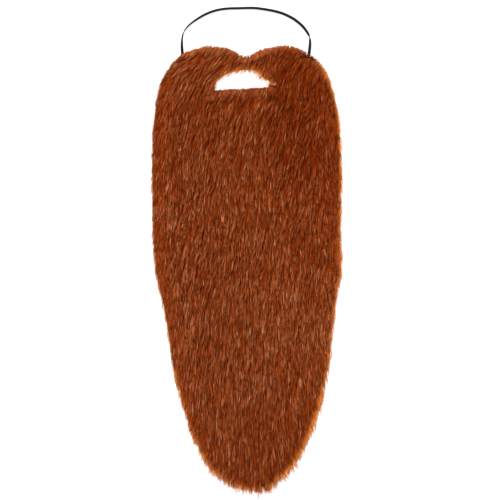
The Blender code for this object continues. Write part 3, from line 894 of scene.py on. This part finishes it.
def needles(name, path, radius, tint, backlit_glow, material):
    """One mesh of tapered three-sided needles along paths of shape (hairs, stations, 3)."""
    count, stations, _ = path.shape
    way = np.gradient(path, axis=1)
    way /= np.linalg.norm(way, axis=2, keepdims=True)
    side = np.cross(way, (0.0, 0.0, 1.0))
    side /= np.linalg.norm(side, axis=2, keepdims=True) + 1e-12
    up = np.cross(side, way)
    roll = np.radians(rng.uniform(0.0, 120.0, count))[:, None, None]
    rings = []
    for corner in range(SIDES):
        angle = roll + 2.0 * np.pi * corner / SIDES
        rings.append(path + radius[:, :, None] * (side * np.cos(angle) + up * np.sin(angle)))
    body = np.stack(rings, axis=2)[:, :-1].reshape(count, -1, 3)
    points = np.concatenate([body, path[:, -1:]], axis=1)
    per_hair = points.shape[1]

    quads = []
    for ring in range(stations - 2):
        for corner in range(SIDES):
            after = (corner + 1) % SIDES
            low_ring, high_ring = ring * SIDES, (ring + 1) * SIDES
            quads.append((low_ring + corner, low_ring + after, high_ring + after, high_ring + corner))
    last, tip = (stations - 2) * SIDES, per_hair - 1
    tips = [(last + c, last + (c + 1) % SIDES, tip) for c in range(SIDES)]
    tips.append(tuple(range(SIDES))[::-1])
    first = (np.arange(count) * per_hair)[:, None]
    four = (first[:, :, None] + np.array(quads)[None]).reshape(count, -1)
    three = (first[:, :, None] + np.array(tips)[None]).reshape(count, -1)
    corners = np.concatenate([four, three], axis=1).ravel()
    sizes = np.tile([4] * len(quads) + [3] * len(tips), count)

    mesh = bpy.data.meshes.new(name)
    mesh.vertices.add(count * per_hair)
    mesh.vertices.foreach_set("co", points.ravel())
    mesh.loops.add(len(corners))
    mesh.loops.foreach_set("vertex_index", corners)
    mesh.polygons.add(len(sizes))
    mesh.polygons.foreach_set("loop_start", np.concatenate([[0], np.cumsum(sizes)[:-1]]))
    mesh.polygons.foreach_set("use_smooth", np.ones(len(sizes), bool))
    station = np.append(np.repeat(np.arange(stations - 1), SIDES), stations - 1)
    along = np.tile(np.linspace(0.0, 1.0, stations)[station], count)
    # Each station's share of the painted backlit glow
    pale = backlit_glow[:, station].ravel()
    layers = (("along", along), ("tint", np.repeat(tint, per_hair)), ("backlit_glow", pale))
    for title, values in layers:
        layer = mesh.attributes.new(title, "FLOAT", "POINT")
        layer.data.foreach_set("value", values.astype(np.float32))

    # Each hair has its own cell on the map, with its root at the cell's foot
    across = math.ceil(math.sqrt(count))
    corner_along = along[corners]
    corner_side = np.append(np.tile(np.arange(SIDES), stations - 1), 1)
    corner_side = np.tile(corner_side, count)[corners] / SIDES
    hair = corners // per_hair
    u = (hair % across + 0.18 + 0.64 * corner_side) / across
    v = (hair // across + 0.12 + 0.76 * corner_along) / across
    cells = mesh.uv_layers.new(name="OFBake")
    cells.uv.foreach_set("vector", np.stack([u, v], axis=1).astype(np.float32).ravel())
    mesh.update()
    mesh.validate()
    mesh.materials.append(material)
    piece = bpy.data.objects.new(name, mesh)
    bpy.context.scene.collection.objects.link(piece)
    return piece


def hair_material():
    """Ginger fibre: darker towards the root, rust along its length, and paler in some wisps."""
    material, shader = cloth_material("ginger_hair", (0.33, 0.060, 0.010), 0.42)
    shader.inputs["Specular IOR Level"].default_value = 0.07
    tree = material.node_tree
    along = add_node(tree, "Attribute", attribute_name="along")
    tint = add_node(tree, "Attribute", attribute_name="tint")
    mix = add_node(tree, "Math", {1: 0.40}, operation="MULTIPLY_ADD")
    place = add_node(tree, "TexCoord")
    patches = add_node(tree, "TexNoise", {"Scale": 26.0, "Detail": 3.0})
    lift = add_node(tree, "Math", {1: 0.20, 2: -0.10}, operation="MULTIPLY_ADD")
    both = add_node(tree, "Math", operation="ADD")
    # The ramp's saturated dark end is partly painted shade and its pale pink-grey end partly painted
    # highlight, with the fibre's own tone between
    shade = add_ramp(
        tree,
        (0.0, (0.160, 0.0125, 0.0001)),
        (1.0, (0.60, 0.235, 0.105)),
        (0.5, (0.297, 0.0465, 0.0030)),
        (0.75, (0.402, 0.103, 0.027)),
    )
    # The painted backlit glow at the thin edges
    edge = add_node(tree, "Group", node_tree=painted_backlit_glow)
    link_up(
        tree,
        (along, "Fac", mix, 0),
        (tint, "Fac", mix, 2),
        (place, "Object", patches, "Vector"),
        (patches, "Fac", lift, 0),
        (mix, "Value", both, 0),
        (lift, "Value", both, 1),
        (both, "Value", shade, "Fac"),
        (shade, "Color", edge, "Color"),
        (edge, "Color", shader, "Base Color"),
    )
    return material


def stopped(path, line):
    """The share of each path that lies before it crosses a short line, 1 if it doesn't."""
    start, way = path[:, 0], path[:, -1] - path[:, 0]
    corner, span = np.array(line[0]) * MM, (np.array(line[1]) - np.array(line[0])) * MM
    cross = way[:, 0] * span[1] - way[:, 1] * span[0]
    gap = corner - start
    share = (gap[:, 0] * span[1] - gap[:, 1] * span[0]) / cross
    at = (gap[:, 0] * way[:, 1] - gap[:, 1] * way[:, 0]) / cross
    return np.where((share > 0.0) & (share < 1.0) & (at > 0.0) & (at < 1.0), share, 1.0)


def edge_fuzz():
    """Short fine loose hairs round every edge: their paths, radii and tints."""
    starts, outs = [], []
    for loop, sign in ((hair_line, 1.0), (lips, -1.0)):
        for depth in FUZZ_DEPTHS:
            row = evenly(loop - sign * outward(loop) * depth, FUZZ_STEP, closed=True)
            starts.append(row)
            outs.append(sign * outward(row))
    start, out = np.vstack(starts), np.vstack(outs)
    lower_lip = (past(start, lips) < 4.0 * MM) & (start[:, 1] < LIP_MIDDLE)
    keep = ~lower_lip & (rng.uniform(0.25, 1.0, len(start)) > ease(out[:, 1], 0.0, 0.5))
    start, out = start[keep], out[keep]
    count = len(start)
    turn = np.radians(rng.normal(0.0, 24.0, count))
    angle = hair_lean(start[:, 0], start[:, 1]) + turn
    way = np.stack([np.sin(angle), -np.cos(angle)], axis=1) + 0.45 * out
    way /= np.linalg.norm(way, axis=1, keepdims=True)
    length = rng.uniform(*FUZZ_LENGTH, count) * MM * (1.0 - 0.4 * ease(out[:, 1], 0.0, 0.5))
    path = start[:, None] + way[:, None] * (length[:, None] * STATIONS)[:, :, None]
    tip = path[:, -1]
    beyond = np.maximum(past(tip, hair_line), -past(tip, lips))
    foot = ease(-out[:, 1], 0.2, 0.8)
    aim = rng.normal(-0.2 + 0.6 * foot, 0.40 + 0.60 * foot, count) * MM
    path -= (out * (beyond - aim)[:, None])[:, None]
    tall = pile_height(path[:, 0])[:, None]
    z = OVER_TABLE + tall * rng.uniform(0.15, 0.8, count)[:, None] * (1.0 - 0.35 * STATIONS)
    radius = FUZZ_RADIUS * TAPER[None] * np.ones((count, 1))
    return np.dstack([path, z]), radius, rng.normal(0.6, 0.1, count)


def lip_tufts():
    """The pointed tufts that hang over the mouth's right end: paths, radii and tints."""
    paths, tints, heights = [], [], []
    for root, tip, spread, height, count, tint in LIP_TUFTS:
        start = np.array(root) * MM + rng.uniform(-1.0, 1.0, (count, 2)) * (spread * MM, 2.5 * MM)
        end = np.array(tip) * MM + rng.normal(0.0, 1.0, (count, 2)) * (0.22 * spread * MM, 0.5 * MM)
        sag = np.sin(np.pi * STATIONS)[None, :, None] * rng.normal(0.3 * MM, 0.3 * MM, (count, 1, 2))
        paths.append(start[:, None] + (end - start)[:, None] * STATIONS[None, :, None] + sag)
        tints.append(rng.normal(tint, 0.15, count))
        heights.append(rng.uniform(0.6, 1.0, count) * height * MM)
    plan = np.vstack(paths)
    z = CLOTH_WALL + np.outer(np.concatenate(heights), (0.2, 0.95, 0.85, 0.45))
    radius = TUFT_RADIUS * TAPER[None] * np.ones((len(plan), 1))
    return np.dstack([plan, z]), radius, np.concatenate(tints)


Edge = namedtuple("Edge", "out depth along_comb hold brim spread")
Lock = namedtuple("Lock", "place turn length lift tint")


def wisp_roots():
    """Where the wisps grow: all over the ground, closer together along its edges and hem."""
    roots = np.vstack([
        scattered(low, high, WISP_ACROSS, WISP_ALONG),
        edge_rows(cut_edge, outward(cut_edge)),
        edge_rows(cut_mouth, -outward(cut_mouth)),
    ])
    hem = evenly(cut_edge, HEM_STEP, closed=True)
    hem = hem[-outward(hem)[:, 1] > 0.25]
    roots = np.vstack([roots, *(hem + (0.0, rise) for rise in HEM_RISES)])
    return roots[inside(roots, cut_edge) & ~inside(roots, cut_mouth)]


def at_edge(roots, down, across):
    """How the nearest edge bends each wisp: out over the brim, and along it at the sides."""
    rims = np.vstack([cut_edge, cut_mouth])
    outs = np.vstack([outward(cut_edge), -outward(cut_mouth)])
    out = outs[nearest(roots, rims)]
    depth = np.minimum(distance_to(roots, cut_edge), distance_to(roots, cut_mouth))
    along_comb, beside_comb = (out * down).sum(1), (out * across).sum(1)
    hold = np.clip(-along_comb * 2.0, 0.0, 1.0) * bell(depth, HOLD_REACH)
    gap = np.minimum(-past(roots, hair_line), past(roots, lips))
    at_lip = (past(roots, lips) < LIP_BAND) & (roots[:, 1] < LIP_MIDDLE)
    uneven = np.where(at_lip, LIP_UNEVEN, EDGE_UNEVEN)
    reach = gap + rng.normal(0.0, 1.0, len(roots)) * uneven + np.where(at_lip, 0.5, 0.8) * MM * hold
    side = 1.0 - ease(along_comb, 0.35, 0.85)
    bend = np.maximum(np.minimum(2.0 * hold, 1.0), np.exp(-depth / BRIM_REACH)) * side * reach
    follow = ease(np.abs(beside_comb), 0.78, 0.97) * np.exp(-depth / FOLLOW_REACH)
    follow *= 1.0 - 0.85 * ease(-roots[:, 1], 100 * MM, 170 * MM)
    beside = np.where(beside_comb < 0.0, -1.0, 1.0) * np.maximum(np.abs(beside_comb), 0.2)
    spread = -np.arctan(np.maximum(along_comb, 0.0) / beside) * follow
    return Edge(out, depth, along_comb, hold, bend[:, None] * out, spread)


def in_locks(roots):
    """The lock that each wisp lies in: its place, and its own turn, length, lift and tint."""
    places = scattered(low - LOCK_ALONG, high + LOCK_ALONG, LOCK_ACROSS, LOCK_ALONG)
    own = nearest(roots, places, LOCK_ACROSS / LOCK_ALONG)
    turn = np.radians(rng.normal(0.0, LOCK_TURN, len(places)))
    length = rng.uniform(0.86, 1.12, len(places))
    lift = rng.uniform(0.80, 1.12, len(places))
    tint = rng.normal(0.0, 0.035, len(places))
    return Lock(places[own], turn[own], length[own], lift[own], tint[own])


def wisp_tone_shade_and_light(roots, edge, lock_tint):
    """How pale each wisp is: about 0.26 with tone that differs at random, less on the cheeks and at
    the foot as painted shade, lighter at the top rim as painted light, and more in some, partly as
    painted highlight.
    """
    x, y = roots.T
    right = ease(x, 10 * MM, 60 * MM)
    tint = 0.26 + lock_tint + rng.normal(0.0, 0.185, len(roots))
    # Painted shade and light by region: darker in the upper part, on the right cheek, at the top and
    # at the foot, and a little lighter just below the middle, where less or more light falls
    tint -= 0.05 * ease(y, 70 * MM, 190 * MM) * (1.0 - ease(y, 215 * MM, 240 * MM) * (1.0 - right))
    tint -= right * (0.07 * ease(y, -10 * MM, 30 * MM) + 0.09 * ease(y, 90 * MM, 150 * MM))
    tint += 0.03 * ease(-y, 0.0, 50 * MM) - 0.07 * ease(-y, 130 * MM, 180 * MM)
    tint -= 0.06 * ease(-y, 215 * MM, 245 * MM)
    tint -= 0.04 * ease(-y, 60 * MM, 110 * MM) * right + 0.045 * ease(y, 236 * MM, 252 * MM)
    # Painted light: wisps near the top edge are lighter, as if lit from above
    lit_top_rim = ease(edge.out[:, 1], 0.3, 0.9) * bell(edge.depth, 7 * MM)
    tint += 0.11 * lit_top_rim * (y > 240 * MM)
    # Painted shade: wisps near the left edge, above the foot, are darker
    shaded_left_rim = ease(-edge.out[:, 0], 0.3, 0.9) * bell(edge.depth, 9 * MM)
    tint -= 0.13 * shaded_left_rim * ease(y, -190 * MM, -150 * MM)
    # Painted shade: wisps rooted in the pit are much darker
    tint -= 0.60 * near_pit(roots, PIT_REACH)
    # Some wisps are paler: partly the fibre's own tone, partly painted highlight
    return tint + 0.20 * (rng.uniform(0.0, 1.0, len(roots)) < 0.14)


def hairs_of(path, edge, down, across, height, tint):
    """The hairs of each wisp, a little apart at their roots and close together at their tips."""
    bed, tall, rise = height
    own = np.repeat(np.arange(len(path)), HAIRS_IN_WISP)
    sideways = rng.uniform(-0.5, 0.5, len(own)) * WISP_ACROSS * 1.1
    lengthways = rng.uniform(-0.5, 0.5, len(own)) * WISP_ALONG * 1.1 * (1.0 - edge.hold[own])
    offset = across[own] * sideways[:, None] + down[own] * lengthways[:, None]
    close = (1.0 - 0.75 * STATIONS[None] ** 1.1)[:, :, None]
    plan = path[own] + offset[:, None] * close
    curl = rng.normal(0.0, 0.30 * MM, len(own))[:, None] * np.sin(np.pi * STATIONS[None])
    stray = rng.normal(0.0, 0.45 * MM, len(own))[:, None] * STATIONS[None] ** 2
    plan = plan + across[own][:, None] * (curl + stray)[:, :, None]
    share = RISE[None] * rise[own][:, None] * rng.uniform(0.86, 1.06, len(own))[:, None]
    z = bed[own] + tall[own] * share - ROOT_DEPTH * (STATIONS[None] == 0.0)
    radius = HAIR_RADIUS * TAPER[None] * rng.uniform(0.75, 1.2, len(own))[:, None]
    return np.dstack([plan, z]), radius, tint[own] + rng.normal(0.0, 0.10, len(own))


def long_hair():
    """Every long hair's path, radius and tint, with the fuzz and the tufts over the mouth."""
    roots = wisp_roots()
    count = len(roots)
    x, y = roots.T
    down, across = comb(roots)
    edge = at_edge(roots, down, across)
    lock = in_locks(roots)

    # The hair is longer towards the foot, short at the pit, and cut where it would reach too far
    low_part = ease(-y, -20 * MM, 100 * MM)
    turn = lock.turn + np.radians(rng.normal(0.0, WISP_TURN, count))
    turn = turn * (1.0 - 0.35 * low_part) + edge.spread
    length = HAIR_LENGTH * lock.length * rng.uniform(0.75, 1.12, count)
    length *= (1.0 + 0.22 * low_part) * (1.0 - 0.6 * near_pit(roots, PIT_REACH))
    free = ease(edge.along_comb, 0.1, 0.8)
    allowed = rng.exponential(0.5 * MM + 1.7 * MM * free) - 0.5 * MM + 1.2 * MM * free
    over_lip = (y > 230 * MM) & (x < 52 * MM)
    allowed += (rng.uniform(0.0, 3.4 * MM, count) * ease(x, 4 * MM, 14 * MM) - 0.4 * MM) * over_lip
    length = trimmed(roots, length, turn, edge.hold, edge.brim, allowed)
    for line in PARTINGS:
        length *= stopped(hair_path(roots, length, turn, edge.hold, edge.brim), line)
    path = hair_path(roots, length, turn, edge.hold, edge.brim)

    # Each lock's wisps draw together towards its tip, and the outer ones lie lower
    off_axis = ((roots - lock.place) * across).sum(1)
    gather = STATIONS[None] ** 1.5 * GATHER * ((1.0 - edge.hold) * length / HAIR_LENGTH)[:, None]
    path = path - (gather * off_axis[:, None])[:, :, None] * across[:, None]
    rise = lock.lift * rng.uniform(0.84, 1.10, count)
    rise *= 1.0 - 0.16 * np.clip(np.abs(off_axis) / (0.5 * LOCK_ACROSS), 0.0, 1.3) ** 2
    rise *= np.minimum(length / HAIR_LENGTH * 1.6, 1.0)
    flat = path.reshape(-1, 2)
    over_cloth = inside(flat, cut_edge) & ~inside(flat, cut_mouth)
    bed = np.where(over_cloth, CLOTH_WALL, OVER_TABLE) + cloth_lift(flat)
    height = (bed.reshape(count, -1), pile_height(flat).reshape(count, -1), rise)
    hairs = hairs_of(path, edge, down, across, height, wisp_tone_shade_and_light(roots, edge, lock.tint))
    return tuple(np.concatenate(values) for values in zip(hairs, edge_fuzz(), lip_tufts()))


PIECES = ("left_edge_hair", "left_hair", "middle_hair", "right_hair", "right_edge_hair")
hair_paths, hair_radius, hair_tint = long_hair()
# Each station's share of the painted backlit glow on the hair
hair_glow = backlit_glow_share(hair_paths[:, :, :2].reshape(-1, 2)).reshape(hair_radius.shape)
order = np.argsort(hair_paths[:, 0, 0], kind="stable")
hair = hair_material()
for name, part in zip(PIECES, np.array_split(order, len(PIECES))):
    piece = needles(
        name, hair_paths[part], hair_radius[part], hair_tint[part], hair_glow[part], hair
    )
    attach(piece, "root")
    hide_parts("fur_pile")

# Tack stitches
# Each end of the elastic is held by a short bar of black thread, sewn over and over through
# the cloth from the front, which also holds the hair down in a furrow.
THREAD_RADIUS = 0.42 * MM
TACK_WIDTH = 0.8 * MM
TACK_STITCHES = 18
TACK_HEIGHT = (3.6, 4.2)
UNDER_FACE = 0.9 * MM


def tack_stitches():
    """The paths of the zigzag stitches, each from the ground up, across and down again."""
    paths = []
    for ends in TACKS:
        start, end = np.array(ends) * MM
        span = end - start
        side = np.array([-span[1], span[0]]) / np.linalg.norm(span) * 0.5 * TACK_WIDTH
        marks = np.linspace(start, end, TACK_STITCHES + 1)
        for i, (here, there) in enumerate(zip(marks[:-1], marks[1:])):
            sway = side if i % 2 else -side
            plan = np.array([here + sway * 0.8, here + sway, there - sway, there - sway * 0.8])
            top = BED + cloth_lift(plan) + rng.uniform(*TACK_HEIGHT) * MM
            z = np.array([UNDER_FACE, top[1], top[2], UNDER_FACE])
            paths.append(np.column_stack([plan, z]))
            paths.append(np.column_stack([plan, (1.2 * MM, 0.3 * MM, 0.3 * MM, 1.2 * MM)]))
    return np.array(paths)


thread, thread_shader = cloth_material("black_thread", (0.012, 0.008, 0.006), 0.6)
thread_shader.inputs["Specular IOR Level"].default_value = 0.3
stitch_paths = tack_stitches()
flat_share = np.zeros(stitch_paths.shape[:2])
stitches = needles(
    "tack_stitches",
    stitch_paths,
    flat_share + THREAD_RADIUS,
    flat_share[:, 0],
    flat_share,
    thread,
)
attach(stitches, "root")

# Table and light
# The beard lies on a plain white table under a broad soft light, with a little more from the
# upper left, so that the locks shade each other softly.
TABLE_SIZE = 6.0
TABLE_GLOW = 0.82
UNDER_BEARD = 0.05 * MM
SOFTBOX_PLACE = (-1.2, 2.6, 4.5)
SOFTBOX_SIZE = 1.5
SOFTBOX_POWER = 458.0
DAYLIGHT = 0.495
bpy.ops.object.select_all(action="DESELECT")
bpy.ops.mesh.primitive_plane_add(size=TABLE_SIZE, location=(0.0, 0.0, -UNDER_BEARD))
table = bpy.context.object
table.name = "white_table"
table_material, glow = cloth_material("white_table", (0.25, 0.25, 0.25), 0.9)
glow.inputs["Emission Color"].default_value = (1.0, 1.0, 1.0, 1.0)
glow.inputs["Specular IOR Level"].default_value = 0.0
glow.inputs["Emission Strength"].default_value = TABLE_GLOW
table.data.materials.append(table_material)

world = bpy.data.worlds.new("soft_daylight")
world.use_nodes = True
world.node_tree.nodes["Background"].inputs["Color"].default_value = (1.0, 1.0, 1.0, 1.0)
world.node_tree.nodes["Background"].inputs["Strength"].default_value = DAYLIGHT
bpy.context.scene.world = world
lamp = bpy.data.lights.new("upper_left_softbox", "AREA")
lamp.size = SOFTBOX_SIZE
lamp.energy = SOFTBOX_POWER
softbox = bpy.data.objects.new("upper_left_softbox", lamp)
softbox.location = SOFTBOX_PLACE
softbox.rotation_euler = (-softbox.location).to_track_quat("-Z", "Y").to_euler()
bpy.context.scene.collection.objects.link(softbox)
bpy.context.scene.view_settings.view_transform = "Standard"
